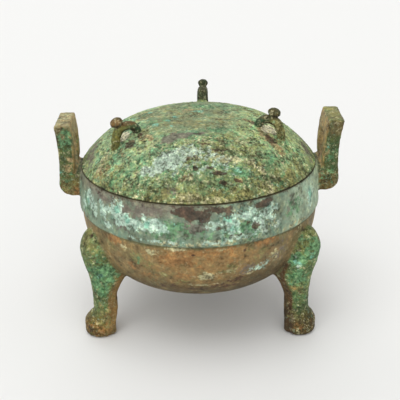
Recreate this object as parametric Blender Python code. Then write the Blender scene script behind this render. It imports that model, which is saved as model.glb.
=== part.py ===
# Lidded bronze tripod vessel: a bowl cast in one with two upright ears and three legs,
# and a loose domed lid with three arched loops. Metres, +Z up, feet on the ground at z = 0.
# The origin is under the middle of the whole vessel; the bowl's own axis stands at
# BOWL_X, BOWL_Y.

import bpy
import bmesh
from math import cos, sin, pi, radians
from mathutils import Matrix, Vector

# Bowl
SEAM_HEIGHT = 0.119           # ground to the ledge that the lid rests on
BAND_HEIGHT = 0.029           # ledge down to the ridge round the belly
BAND_TOP_RADIUS = 0.085
RIDGE_RADIUS = 0.088
RIDGE_STEP = 0.0018           # the belly stands this far back under the ridge
BOWL_DEPTH = 0.0626           # ridge down to the underside of the bowl
BELLY_FLATNESS = 2.25         # exponents of the belly's curve
BELLY_ROUNDNESS = 2.53
BOWL_WALL = 0.0035
LEDGE_DEPTH = 0.005           # the wall thickens inwards this far below the ledge
LIP_HEIGHT = 0.004            # inner lip that stands up inside the lid
LIP_WALL = 0.0025
LIP_CLEARANCE = 0.001

# Lid
LID_HEIGHT = 0.033            # ledge to the middle of the dome
LID_EDGE = 0.0005             # upright edge at the rim
DOME_FULLNESS = 3.5           # exponent of the dome's curve
LID_WALL = 0.003
LID_GAP = 0.0003              # between the rim and the ledge

# Ears
EAR_TOP_HEIGHT = 0.0322       # above the ledge
EAR_WIDTH = 0.035             # along the bowl's edge
EAR_THICKNESS = 0.011
EAR_STANDOFF = 0.0043         # free space between the bowl's edge and the ear's inner face
LEFT_EAR_FLARE = 0.0005       # the top leans out
RIGHT_EAR_FLARE = 0.0026
EAR_WAIST = 0.0014            # the upright bows in at half height
EAR_STUB_DROP = 0.0035        # stub's top below the ledge
EAR_STUB_HEIGHT = 0.0165
EAR_CORNER = 0.009            # outer bottom corner's radius
EAR_INSIDE_CORNER = 0.0015
EAR_OPENING_WIDTH = 0.016
EAR_OPENING_HEIGHT = 0.0205
EAR_OPENING_SILL = 0.003      # above the stub's top
EAR_EDGE = 0.0009             # worn corner of every edge

# Legs: azimuth, then how far the knee's, the ankle's and the foot's front stand out from the ridge,
# and the ankle's and the foot's width
LEFT_LEG = (208.4, 0.0075, 0.0009, 0.0083, 0.0170, 0.0245)
RIGHT_LEG = (328.4, 0.0092, 0.0016, 0.0072, 0.0178, 0.0235)
REAR_LEG = (88.4, 0.0083, 0.0013, 0.0078, 0.0174, 0.0240)
LEG_TOP_DROP = 0.0062         # the leg ends this far below the ridge
KNEE_WIDTH = 0.028
FOOT_DEPTH = 0.0195           # front to back
ANKLE_DEPTH = 0.0158
KNEE_DEPTH = 0.0323           # the knee's back is inside the belly
SOLE_EDGE = 0.0022            # rounded edge of the sole
LEG_BACK_EDGE = 0.0016        # cut corners of the leg's flat back
LEG_SIDE_STEP = 0.0007        # the flat sides stand in behind the rounded front

# Lid's loops: azimuth, the lid's edge in to the middle of the bar's outer foot, foot to foot,
# the arch's rise above the dome, then where the knob stands on it, its lean (degrees) and diameter
LEFT_LOOP = (208.6, 0.0202, 0.0186, 0.0095, 62.0, 24.0, 0.0091)
RIGHT_LOOP = (338.0, 0.0226, 0.0183, 0.0087, 78.0, 12.0, 0.0090)
REAR_LOOP = (85.6, 0.0205, 0.0187, 0.0095, 62.0, 20.0, 0.0078)
LOOP_SINK = 0.0007            # the outer foot starts this far below the dome's surface
LOOP_SQUARENESS = 2.6
LOOP_BAR_WIDTH = 0.0075       # across the arch
LOOP_BAR_DEPTH = 0.006
KNOB_THICKNESS = 0.006
KNOB_NECK_DIAMETER = 0.006
KNOB_STAND = 0.0056           # knob's middle above the bar's middle
KNOB_UNDERSIDE = 50.0         # degrees under its middle where the neck meets it

ROUND_SEGMENTS = 48
CUT_OVERRUN = 0.004           # a cutter runs this far past the faces that it opens
RIDGE_HEIGHT = SEAM_HEIGHT - BAND_HEIGHT
LEG_TOP = RIDGE_HEIGHT - LEG_TOP_DROP
BELLY_RADIUS = RIDGE_RADIUS - RIDGE_STEP
EAR_REACH = BAND_TOP_RADIUS + EAR_STANDOFF + EAR_THICKNESS
EAR_STUB_TOP = SEAM_HEIGHT - EAR_STUB_DROP
LID_RISE = LID_HEIGHT - LID_GAP
# These two centre the whole vessel over the origin
BOWL_X = (LEFT_EAR_FLARE - RIGHT_EAR_FLARE) / 2
BOWL_Y = -max(REAR_LEG[1:4]) / 2


def clear_scene():
    for obj in list(bpy.data.objects):
        bpy.data.objects.remove(obj, do_unlink=True)


def bronze(name, colour, roughness, metallic):
    material = bpy.data.materials.new(name)
    material.use_nodes = True
    shader = material.node_tree.nodes["Principled BSDF"]
    shader.inputs["Base Color"].default_value = (*colour, 1.0)
    shader.inputs["Roughness"].default_value = roughness
    shader.inputs["Metallic"].default_value = metallic
    return material


def add_object(name, mesh_data, smooth_below=35.0):
    bmesh.ops.recalc_face_normals(mesh_data, faces=mesh_data.faces)
    mesh = bpy.data.meshes.new(name)
    mesh_data.to_mesh(mesh)
    mesh_data.free()
    mesh.shade_smooth()
    mesh.set_sharp_from_angle(angle=radians(smooth_below))
    obj = bpy.data.objects.new(name, mesh)
    bpy.context.collection.objects.link(obj)
    return obj


def make_tool(obj):
    obj.hide_render = True
    obj.display_type = "WIRE"
    return obj


def boolean(target, tool, operation):
    modifier = target.modifiers.new(f"{operation.title()} {tool.name}", "BOOLEAN")
    modifier.operation = operation
    modifier.object = tool


def turned(name, profile, segments=ROUND_SEGMENTS):
    """A closed round body from (radius, height) points that start and end on the axis."""
    body = bmesh.new()
    turns = [2 * pi * i / segments for i in range(segments)]
    rings = []
    for radius, height in profile:
        if radius == 0.0:
            rings.append([body.verts.new((0.0, 0.0, height))])
        else:
            rings.append([body.verts.new((radius * cos(a), radius * sin(a), height)) for a in turns])
    for lower, upper in zip(rings, rings[1:]):
        for i in range(segments):
            j = (i + 1) % segments
            if len(lower) == 1:
                body.faces.new((lower[0], upper[j], upper[i]))
            elif len(upper) == 1:
                body.faces.new((lower[i], lower[j], upper[0]))
            else:
                body.faces.new((lower[i], lower[j], upper[j], upper[i]))
    return add_object(name, body)


def lofted(name, sections):
    """A closed body through equal rings of points, capped at both ends."""
    body = bmesh.new()
    rings = [[body.verts.new(point) for point in section] for section in sections]
    count = len(rings[0])
    for lower, upper in zip(rings, rings[1:]):
        for i in range(count):
            j = (i + 1) % count
            body.faces.new((lower[i], lower[j], upper[j], upper[i]))
    body.faces.new(rings[0])
    body.faces.new(rings[-1])
    return add_object(name, body)


def belly_curve(radius, depth, steps=11):
    """Points from the bowl's lowest point out and up to the ridge."""
    points = []
    for i in range(steps + 1):
        angle = pi / 2 * i / steps
        out = radius * sin(angle) ** (2 / BELLY_ROUNDNESS)
        down = depth * max(cos(angle), 0.0) ** (2 / BELLY_FLATNESS)
        points.append((out if i else 0.0, RIDGE_HEIGHT - (down if i < steps else 0.0)))
    return points


def dome_curve(radius, height, start, steps=9):
    """Points from the rim up to the top of a dome, start being the height of its rim."""
    points = []
    for i in range(steps + 1):
        share = sin(pi / 2 * (steps - i) / steps)
        rise = height * (1 - share ** DOME_FULLNESS)
        points.append((radius * share if i < steps else 0.0, start + rise))
    return points


def dome_height(radius):
    """Height of the lid's outside above the ledge."""
    share = radius / BAND_TOP_RADIUS
    return LID_HEIGHT - (LID_RISE - LID_EDGE) * share ** DOME_FULLNESS


def lid_inside_radius(height):
    """Radius of the lid's hollow at a height above its rim."""
    share = 1 - height / (LID_RISE - LID_WALL)
    return (BAND_TOP_RADIUS - LID_WALL) * share ** (1 / DOME_FULLNESS)


def lip_outline():
    """Outer side of the lip, which follows the lid's inside at its clearance."""
    middle = LIP_HEIGHT / 2
    heights = (0.0, middle, LIP_HEIGHT)
    return [(lid_inside_radius(h) - LIP_CLEARANCE, SEAM_HEIGHT + h) for h in heights]


def bowl_outside():
    profile = belly_curve(BELLY_RADIUS, BOWL_DEPTH)
    profile += [(RIDGE_RADIUS, RIDGE_HEIGHT), (BAND_TOP_RADIUS, SEAM_HEIGHT)]
    profile += lip_outline()
    profile += [(0.0, SEAM_HEIGHT + LIP_HEIGHT)]
    return turned("vessel", profile)


def bowl_hollow():
    profile = belly_curve(BELLY_RADIUS - BOWL_WALL, BOWL_DEPTH - BOWL_WALL)
    profile += [(BAND_TOP_RADIUS - BOWL_WALL, SEAM_HEIGHT - LEDGE_DEPTH)]
    profile += [(radius - LIP_WALL, height) for radius, height in lip_outline()]
    above = SEAM_HEIGHT + LIP_HEIGHT + CUT_OVERRUN
    profile += [(profile[-1][0], above), (0.0, above)]
    return make_tool(turned("bowl_hollow", profile))


def arc(centre, radius, start, end, steps):
    """Points (x, z) on an arc, angles in degrees."""
    angles = [radians(start + (end - start) * i / steps) for i in range(steps + 1)]
    return [(centre[0] + radius * cos(a), centre[1] + radius * sin(a)) for a in angles]


def ear_outline(flare, steps=7):
    """The ear seen along the bowl's edge: out from the band, round the corner, up and back."""
    stub_foot = EAR_STUB_TOP - EAR_STUB_HEIGHT
    top = SEAM_HEIGHT + EAR_TOP_HEIGHT
    root = BAND_TOP_RADIUS - BOWL_WALL
    corner = (EAR_REACH - EAR_CORNER, stub_foot + EAR_CORNER)
    outline = [(root, stub_foot)]
    outline += arc(corner, EAR_CORNER, -90, 0, 5)
    rise = []
    for i in range(1, steps + 1):
        share = i / steps
        bow = flare * share ** 2 - EAR_WAIST * sin(pi * share)
        rise.append((bow, corner[1] + (top - corner[1]) * share))
    outline += [(EAR_REACH + bow, z) for bow, z in rise]
    inside = EAR_REACH - EAR_THICKNESS
    clear_of_corner = EAR_STUB_TOP + 2 * EAR_INSIDE_CORNER
    outline += [(inside + bow, z) for bow, z in reversed(rise) if z > clear_of_corner]
    inner_corner = (inside - EAR_INSIDE_CORNER, EAR_STUB_TOP + EAR_INSIDE_CORNER)
    outline += arc(inner_corner, EAR_INSIDE_CORNER, 0, -90, 2)
    outline += [(root, EAR_STUB_TOP)]
    return outline


def build_ear(name, side, flare):
    outline = ear_outline(flare)
    half = EAR_WIDTH / 2
    ear = lofted(name, [[(side * x, y, z) for x, z in outline] for y in (-half, half)])
    edge = ear.modifiers.new("Worn edges", "BEVEL")
    edge.width = EAR_EDGE
    edge.limit_method = "ANGLE"
    edge.angle_limit = radians(50)
    sill = EAR_STUB_TOP + EAR_OPENING_SILL
    half = EAR_OPENING_WIDTH / 2
    inner = EAR_REACH - EAR_THICKNESS - CUT_OVERRUN
    outer = EAR_REACH + CUT_OVERRUN
    rim = ((inner, -half), (outer, -half), (outer, half), (inner, half))
    heights = (sill, sill + EAR_OPENING_HEIGHT)
    opening = lofted(f"{name}_opening", [[(side * x, y, z) for x, y in rim] for z in heights])
    boolean(ear, make_tool(opening), "DIFFERENCE")
    return make_tool(ear)


def leg_stations(knee_standout, ankle_standout, foot_standout, ankle_width, foot_width):
    """(height, width, front, back) up the leg; the free curves are shares of its height."""
    foot_front = RIDGE_RADIUS + foot_standout
    foot_back = foot_front - FOOT_DEPTH
    stations = []
    for share in (0.0, 0.3, 1.0):
        inset = (1 - share) ** 2 * SOLE_EDGE
        width = foot_width - 2 * inset
        stations.append((share * SOLE_EDGE, width, foot_front - inset, foot_back + inset))
    stations.append((0.12 * LEG_TOP, foot_width, foot_front, foot_back))

    front = RIDGE_RADIUS + ankle_standout
    back = front - ANKLE_DEPTH
    width = ankle_width + 0.6 * (foot_width - ankle_width)
    stations.append((0.17 * LEG_TOP, width, front + 0.6 * (foot_front - front), (foot_back + back) / 2))

    # From the ankle up: share of the height, of the knee's width and swell, and of the way back
    spread = KNEE_WIDTH - ankle_width
    swell = knee_standout - ankle_standout
    root = back - (RIDGE_RADIUS + knee_standout - KNEE_DEPTH)
    for height, wide, out, deep in (
        (0.22, 0.0, 0.0, 0.0),
        (0.35, 0.0, 0.0, 0.0),
        (0.45, 0.35, 0.10, 0.2),
        (0.52, 0.55, 0.22, 0.55),
        (0.59, 0.72, 0.40, 1.0),
        (0.70, 0.92, 0.78, 1.0),
        (0.83, 1.0, 1.0, 1.0),
        (0.915, 0.6, 0.70, 1.0),
        (0.97, 0.0, 0.25, 1.0),
        (1.0, -0.9, -0.18, 1.0),
    ):
        width = ankle_width + wide * spread
        stations.append((height * LEG_TOP, width, front + out * swell, back - deep * root))
    return stations


def leg_section(height, width, front, back, steps=8):
    """A deep D: flat back with cut corners, flat sides, and a half round front over them."""
    half = width / 2
    side = half - LEG_SIDE_STEP
    inner = side - LEG_BACK_EDGE
    shoulder = front - half
    section = [(shoulder - LEG_SIDE_STEP, side, height), (back + LEG_BACK_EDGE, side, height)]
    section += [(back, inner, height), (back, -inner, height)]
    section += [(back + LEG_BACK_EDGE, -side, height), (shoulder - LEG_SIDE_STEP, -side, height)]
    for i in range(steps + 1):
        angle = -pi / 2 + pi * i / steps
        section.append((shoulder + half * cos(angle), half * sin(angle), height))
    return section


def build_leg(name, azimuth, *sizes):
    leg = lofted(name, [leg_section(*station) for station in leg_stations(*sizes)])
    leg.data.transform(Matrix.Rotation(radians(azimuth), 4, "Z"))
    return make_tool(leg)


def loop_point(angle, inset, span, rise):
    """Middle of the bar at an angle round the arch, from its outer foot."""
    outer_foot = BAND_TOP_RADIUS - inset
    middle = outer_foot - span / 2
    springing = dome_height(outer_foot + LOOP_BAR_DEPTH / 2) - LOOP_SINK
    top = dome_height(middle) + rise
    power = 2 / LOOP_SQUARENESS
    side = 1.0 if cos(angle) >= 0 else -1.0
    radius = middle + span / 2 * side * abs(cos(angle)) ** power
    height = springing + (top - springing) * max(sin(angle), 0.0) ** power
    return Vector((radius, 0.0, SEAM_HEIGHT + height))


def build_loop(name, azimuth, arch, steps=12, sides=8):
    path = [loop_point(pi * i / steps, *arch) for i in range(steps + 1)]
    swell = 1 / cos(pi / sides)         # the flats of the bar stand at its true size
    sections = []
    for i, middle in enumerate(path):
        along = path[min(i + 1, steps)] - path[max(i - 1, 0)]
        outward = along.normalized().cross(Vector((0.0, 1.0, 0.0)))
        turns = [2 * pi * (k + 0.5) / sides for k in range(sides)]
        across = Vector((0.0, LOOP_BAR_WIDTH / 2 * swell, 0.0))
        outward *= LOOP_BAR_DEPTH / 2 * swell
        sections.append([middle + across * cos(turn) + outward * sin(turn) for turn in turns])
    loop = lofted(name, sections)
    loop.data.transform(Matrix.Rotation(radians(azimuth), 4, "Z"))
    return make_tool(loop)


def build_knob(name, azimuth, arch, along, lean, diameter, steps=5, sides=12):
    """A button on a short neck, turned about its own leaning axis."""
    neck = KNOB_NECK_DIAMETER / 2
    profile = [(0.0, 0.0), (neck, 0.0)]
    for i in range(steps + 1):
        angle = radians(-KNOB_UNDERSIDE + (KNOB_UNDERSIDE + 90.0) * i / steps)
        radius = diameter / 2 * cos(angle) if i < steps else 0.0
        profile.append((radius, KNOB_STAND + KNOB_THICKNESS / 2 * sin(angle)))
    knob = turned(name, profile, sides)
    tilt = Matrix.Rotation(radians(lean), 4, "Y")
    place = Matrix.Translation(loop_point(radians(along), *arch))
    knob.data.transform(Matrix.Rotation(radians(azimuth), 4, "Z") @ place @ tilt)
    return make_tool(knob)


def build_vessel(material):
    vessel = bowl_outside()
    for number, leg in enumerate((LEFT_LEG, RIGHT_LEG, REAR_LEG), 1):
        boolean(vessel, build_leg(f"leg_{number}", *leg), "UNION")
    for name, side, flare in (("left_ear", -1, LEFT_EAR_FLARE), ("right_ear", 1, RIGHT_EAR_FLARE)):
        boolean(vessel, build_ear(name, side, flare), "UNION")
    boolean(vessel, bowl_hollow(), "DIFFERENCE")
    vessel.data.materials.append(material)
    return vessel


def build_lid(material):
    rim = SEAM_HEIGHT + LID_GAP
    outside = [(0.0, rim), (BAND_TOP_RADIUS, rim)]
    outside += dome_curve(BAND_TOP_RADIUS, LID_RISE - LID_EDGE, rim + LID_EDGE)
    lid = turned("lid", outside)
    for number, loop in enumerate((LEFT_LOOP, RIGHT_LOOP, REAR_LOOP), 1):
        azimuth, inset, span, rise, *knob = loop
        arch = (inset, span, rise)
        boolean(lid, build_loop(f"loop_{number}", azimuth, arch), "UNION")
        boolean(lid, build_knob(f"knob_{number}", azimuth, arch, *knob), "UNION")
    below = rim - CUT_OVERRUN
    radius = BAND_TOP_RADIUS - LID_WALL
    inside = [(0.0, below), (radius, below)]
    inside += dome_curve(radius, LID_RISE - LID_WALL, rim)
    boolean(lid, make_tool(turned("lid_hollow", inside)), "DIFFERENCE")
    lid.data.materials.append(material)
    return lid


def main():
    clear_scene()
    build_vessel(bronze("vessel_bronze", (0.20, 0.25, 0.15), 0.75, 0.25))
    build_lid(bronze("lid_bronze", (0.17, 0.25, 0.14), 0.85, 0.15))
    axis = bpy.data.objects.new("bowl_axis", None)
    bpy.context.collection.objects.link(axis)
    axis.location = (BOWL_X, BOWL_Y, 0.0)
    for obj in bpy.data.objects:
        if obj.type == "MESH":
            obj.parent = axis


main()
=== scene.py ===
# An old cast bronze tripod vessel with a domed lid, under its burial patina.
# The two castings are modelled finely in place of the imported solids, then weathered and painted.
# Lengths are metres, and millimetres where the skin is painted.

from math import pi, sin, cos, exp, radians

import bpy
import bmesh
import numpy as np
from mathutils import Matrix, Vector


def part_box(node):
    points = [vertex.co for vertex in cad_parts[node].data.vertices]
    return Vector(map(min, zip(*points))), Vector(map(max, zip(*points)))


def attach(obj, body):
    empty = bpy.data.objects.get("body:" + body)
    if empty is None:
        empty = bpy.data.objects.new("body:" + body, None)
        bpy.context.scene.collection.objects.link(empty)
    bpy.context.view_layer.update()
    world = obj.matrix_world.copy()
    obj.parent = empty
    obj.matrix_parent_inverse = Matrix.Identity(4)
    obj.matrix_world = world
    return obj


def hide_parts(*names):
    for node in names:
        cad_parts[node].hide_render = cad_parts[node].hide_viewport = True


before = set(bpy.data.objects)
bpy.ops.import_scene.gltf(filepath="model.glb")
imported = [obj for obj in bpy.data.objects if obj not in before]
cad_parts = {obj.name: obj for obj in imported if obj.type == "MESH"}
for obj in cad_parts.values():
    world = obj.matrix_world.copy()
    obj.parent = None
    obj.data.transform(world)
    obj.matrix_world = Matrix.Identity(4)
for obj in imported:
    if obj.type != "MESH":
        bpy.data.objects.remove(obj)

scene = bpy.context.scene
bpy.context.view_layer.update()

# The frame gives the bowl's axis, the lid's edge and the ledge
lidLow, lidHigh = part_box("lid")
axisX = (lidLow.x + lidHigh.x) / 2
axisY = (lidLow.y + lidHigh.y) / 2
rimRadius = (lidHigh.x - lidLow.x) / 2
lidGap = 0.0003  # between the two castings where they touch
ledge = lidLow.z - lidGap

print("frame loaded, lid", round(2000 * rimRadius, 1), "mm across")


# Node helpers

def plug(tree, value, socket):
    if isinstance(value, bpy.types.NodeSocket):
        tree.links.new(value, socket)
    else:
        socket.default_value = value


def node(tree, kind, inputs=None, **settings):
    made = tree.nodes.new(kind)
    for name, value in settings.items():
        setattr(made, name, value)
    for name, value in (inputs or {}).items():
        plug(tree, value, made.inputs[name])
    return made


def maths(tree, operation, first, second=0.0, third=0.0):
    values = {0: first, 1: second, 2: third}
    return node(tree, "ShaderNodeMath", values, operation=operation).outputs[0]


def product(tree, first, *others):
    for other in others:
        first = maths(tree, "MULTIPLY", first, other)
    return first


def geometryTree(name, inputs):
    tree = bpy.data.node_groups.new(name, "GeometryNodeTree")
    for label, kind, value in inputs:
        socket = tree.interface.new_socket(label, in_out="INPUT", socket_type="NodeSocket" + kind)
        if value is not None:
            socket.default_value = value
    tree.interface.new_socket("Geometry", in_out="OUTPUT", socket_type="NodeSocketGeometry")
    given = tree.nodes.new("NodeGroupInput").outputs
    return tree, given


def endTree(tree, geometry, material):
    real = node(tree, "GeometryNodeRealizeInstances", {"Geometry": geometry}).outputs[0]
    worn = node(tree, "GeometryNodeSetMaterial", {"Geometry": real, "Material": material}).outputs[0]
    result = tree.nodes.new("NodeGroupOutput")
    tree.links.new(worn, result.inputs["Geometry"])


# Mesh helpers

weldDistance = 1e-6
seamDistance = 1e-5


def addObject(name, mesh):
    obj = bpy.data.objects.new(name, mesh)
    scene.collection.objects.link(obj)
    return obj


def newMesh(name, build):
    mesh = bpy.data.meshes.new(name)
    build.to_mesh(mesh)
    build.free()
    return mesh


def settle(obj):
    # the evaluated shape becomes the object's plain mesh
    bpy.context.view_layer.update()
    evaluated = obj.evaluated_get(bpy.context.evaluated_depsgraph_get())
    mesh = bpy.data.meshes.new_from_object(evaluated)
    obj.modifiers.clear()
    obj.data = mesh
    return obj


def runTree(obj, tree, values):
    modifier = obj.modifiers.new(tree.name, "NODES")
    modifier.node_group = tree
    for item in tree.interface.items_tree:
        if item.in_out == "INPUT" and item.name in values:
            modifier[item.identifier] = values[item.name]
    return settle(obj)


def triangles(obj):
    return sum(len(face.vertices) - 2 for face in obj.data.polygons)


def faceOut(obj):
    build = bmesh.new()
    build.from_mesh(obj.data)
    bmesh.ops.remove_doubles(build, verts=build.verts, dist=weldDistance)
    bmesh.ops.recalc_face_normals(build, faces=build.faces)
    build.to_mesh(obj.data)
    build.free()
    return obj


def joined(name, parts):
    build = bmesh.new()
    for part in parts:
        build.from_mesh(part.data)
        bpy.data.objects.remove(part, do_unlink=True)
    return addObject(name, newMesh(name, build))


def fused(obj, voxel):
    # closed bodies that overlap become one skin
    modifier = obj.modifiers.new("one casting", "REMESH")
    modifier.mode = "VOXEL"
    modifier.voxel_size = voxel
    return settle(obj)


def cutOut(obj, tool):
    modifier = obj.modifiers.new("cut", "BOOLEAN")
    modifier.operation = "DIFFERENCE"
    modifier.solver = "EXACT"
    modifier.object = tool
    settle(obj)
    bpy.data.objects.remove(tool, do_unlink=True)
    return obj


def loft(name, rings):
    build = bmesh.new()
    made = [[build.verts.new(point) for point in ring] for ring in rings]
    count = len(made[0])
    for lower, upper in zip(made, made[1:]):
        for i in range(count):
            j = (i + 1) % count
            build.faces.new((lower[i], lower[j], upper[j], upper[i]))
    build.faces.new(made[0])
    build.faces.new(made[-1])
    bmesh.ops.recalc_face_normals(build, faces=build.faces)
    return addObject(name, newMesh(name, build))


# Turned bodies: the object's own edges are the profile, x out from the axis and z up

def turningTree():
    tree, given = geometryTree("turned on the axis", (
        ("Geometry", "Geometry", None),
        ("Segments", "Int", 160),
        ("Stations", "Int", 160),
        ("Material", "Material", None),
    ))
    profile = node(tree, "GeometryNodeMeshToCurve", {"Mesh": given["Geometry"]}).outputs["Curve"]
    grid = node(tree, "GeometryNodeMeshGrid", {
        "Size X": 1.0,
        "Size Y": 1.0,
        "Vertices X": maths(tree, "ADD", given["Segments"], 1.0),
        "Vertices Y": given["Stations"],
    }).outputs["Mesh"]
    place = node(tree, "GeometryNodeInputPosition").outputs[0]
    flat = node(tree, "ShaderNodeSeparateXYZ", {0: place}).outputs
    share = maths(tree, "ADD", flat["Y"], 0.5)
    turn = maths(tree, "MULTIPLY", maths(tree, "ADD", flat["X"], 0.5), 2 * pi)
    sample = node(tree, "GeometryNodeSampleCurve", {"Curves": profile, "Factor": share}, mode="FACTOR")
    point = node(tree, "ShaderNodeSeparateXYZ", {0: sample.outputs["Position"]}).outputs
    spun = node(tree, "ShaderNodeCombineXYZ", {
        "X": maths(tree, "MULTIPLY", point["X"], maths(tree, "COSINE", turn)),
        "Y": maths(tree, "MULTIPLY", point["X"], maths(tree, "SINE", turn)),
        "Z": point["Z"],
    }).outputs[0]
    body = node(tree, "GeometryNodeSetPosition", {"Geometry": grid, "Position": spun}).outputs[0]
    closed = node(tree, "GeometryNodeMergeByDistance", {"Geometry": body, "Distance": seamDistance})
    endTree(tree, closed.outputs[0], given["Material"])
    return tree


def turned(name, profile, segments, stations):
    mesh = bpy.data.meshes.new(name)
    points = [(radius, 0.0, height) for radius, height in profile]
    mesh.from_pydata(points, [(i, i + 1) for i in range(len(points) - 1)], [])
    values = {"Segments": segments, "Stations": stations}
    return faceOut(runTree(addObject(name, mesh), turning, values))


turning = turningTree()


# Bowl and lid. Facets are counted round the axis and along the profile.

bowl = {
    "bandHeight": 0.029,
    "ridgeRadius": 0.088,
    "ridgeStep": 0.0018,
    "depth": 0.0626,
    "flatness": 2.25,  # the belly's curve: two makes an ellipse, and more is squarer
    "roundness": 2.53,
    "wall": 0.0035,
    "ledgeDepth": 0.005,
    "lipHeight": 0.004,
    "lipWall": 0.0025,
    "lipClearance": 0.001,
    "lipSteps": 4,
    "bellySteps": 60,
    "hollowSteps": 24,
    "facets": (200, 260),
    "hollowFacets": (96, 70),
}
lid = {
    "rise": 0.033,
    "edge": 0.0005,
    "fullness": 3.5,  # the dome's curve: two makes a parabola, and more is fuller
    "wall": 0.003,
    "ringRadius": 0.0395,
    "ringStep": 0.0005,
    "ringWidth": 0.0022,
    "domeSteps": 90,
    "hollowSteps": 24,
    "facets": (220, 260),
    "hollowFacets": (96, 60),
}
ridge = ledge - bowl["bandHeight"]
bellyRadius = bowl["ridgeRadius"] - bowl["ridgeStep"]
cutOverrun = 0.004  # a cutter runs this far past what it cuts


def bellyCurve(radius, depth, steps):
    points = []
    for i in range(steps + 1):
        angle = pi / 2 * i / steps
        out = radius * sin(angle) ** (2 / bowl["roundness"]) if i else 0.0
        down = depth * cos(angle) ** (2 / bowl["flatness"]) if i < steps else 0.0
        points.append((out, ridge - down))
    return points


def lidInsideRadius(height):
    share = 1 - height / (lid["rise"] - lidGap - lid["wall"])
    return (rimRadius - lid["wall"]) * share ** (1 / lid["fullness"])


def lipOutline():
    steps = bowl["lipSteps"]
    heights = [bowl["lipHeight"] * i / steps for i in range(steps + 1)]
    return [(lidInsideRadius(h) - bowl["lipClearance"], ledge + h) for h in heights]


def bowlOutside():
    profile = bellyCurve(bellyRadius, bowl["depth"], bowl["bellySteps"])
    profile += [(bowl["ridgeRadius"], ridge), (rimRadius, ledge)]
    profile += lipOutline()
    profile += [(0.0, ledge + bowl["lipHeight"])]
    return turned("bowl outside", profile, *bowl["facets"])


def bowlHollow():
    wall = bowl["wall"]
    profile = bellyCurve(bellyRadius - wall, bowl["depth"] - wall, bowl["hollowSteps"])
    profile += [(rimRadius - wall, ledge - bowl["ledgeDepth"])]
    profile += [(radius - bowl["lipWall"], height) for radius, height in lipOutline()]
    above = ledge + bowl["lipHeight"] + cutOverrun
    profile += [(profile[-1][0], above), (0.0, above)]
    return turned("bowl hollow", profile, *bowl["hollowFacets"]), profile


# Ears

ear = {
    "topHeight": 0.0322,
    "width": 0.035,
    "thickness": 0.011,
    "standoff": 0.0043,
    "leftFlare": 0.0005,
    "rightFlare": 0.0026,
    "waist": 0.0014,
    "stubDrop": 0.0035,
    "stubHeight": 0.0165,
    "corner": 0.009,
    "insideCorner": 0.0015,
    "openingWidth": 0.016,
    "openingHeight": 0.0205,
    "sill": 0.003,
    "wornEdge": 0.0009,
    "wornSegments": 3,
    "wornAngle": 50,
    "frontSteps": 16,
    "cornerSteps": 10,
    "insideSteps": 4,
}
earReach = rimRadius + ear["standoff"] + ear["thickness"]
stubTop = ledge - ear["stubDrop"]
stubFoot = stubTop - ear["stubHeight"]
earTop = ledge + ear["topHeight"]


def arc(centre, radius, start, end, steps):
    angles = [radians(start + (end - start) * i / steps) for i in range(steps + 1)]
    return [(centre[0] + radius * cos(a), centre[1] + radius * sin(a)) for a in angles]


def earOutline(flare):
    root = rimRadius - bowl["wall"]
    steps = ear["frontSteps"]
    corner = (earReach - ear["corner"], stubFoot + ear["corner"])
    outline = [(root, stubFoot)] + arc(corner, ear["corner"], -90, 0, ear["cornerSteps"])
    rise = []
    for i in range(1, steps + 1):
        share = i / steps
        bow = flare * share ** 2 - ear["waist"] * sin(pi * share)
        rise.append((bow, corner[1] + (earTop - corner[1]) * share))
    outline += [(earReach + bow, z) for bow, z in rise]
    inside = earReach - ear["thickness"]
    small = ear["insideCorner"]
    outline += [(inside + bow, z) for bow, z in reversed(rise) if z > stubTop + 2 * small]
    outline += arc((inside - small, stubTop + small), small, 0, -90, ear["insideSteps"])
    return outline + [(root, stubTop)]


def buildEar(name, side, flare):
    half = ear["width"] / 2
    outline = earOutline(flare)
    body = loft(name, [[(side * x, y, z) for x, z in outline] for y in (-half, half)])
    edge = body.modifiers.new("worn edges", "BEVEL")
    edge.width = ear["wornEdge"]
    edge.segments = ear["wornSegments"]
    edge.limit_method = "ANGLE"
    edge.angle_limit = radians(ear["wornAngle"])
    settle(body)
    half = ear["openingWidth"] / 2
    inner = earReach - ear["thickness"] - cutOverrun
    outer = earReach + cutOverrun
    low = stubTop + ear["sill"]
    rim = ((inner, -half), (outer, -half), (outer, half), (inner, half))
    tool = loft("opening", [[(side * x, y, z) for x, y in rim] for z in (low, low + ear["openingHeight"])])
    return cutOut(body, tool)


# Legs: azimuth, the knee's, the ankle's and the foot's stand-out from the ridge, ankle and foot width.
# Up from the ankle a station is a share of the leg's height, then how far the width has grown from
# the ankle's to the knee's, the front from the ankle to the knee, and the back to the bowl.

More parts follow.
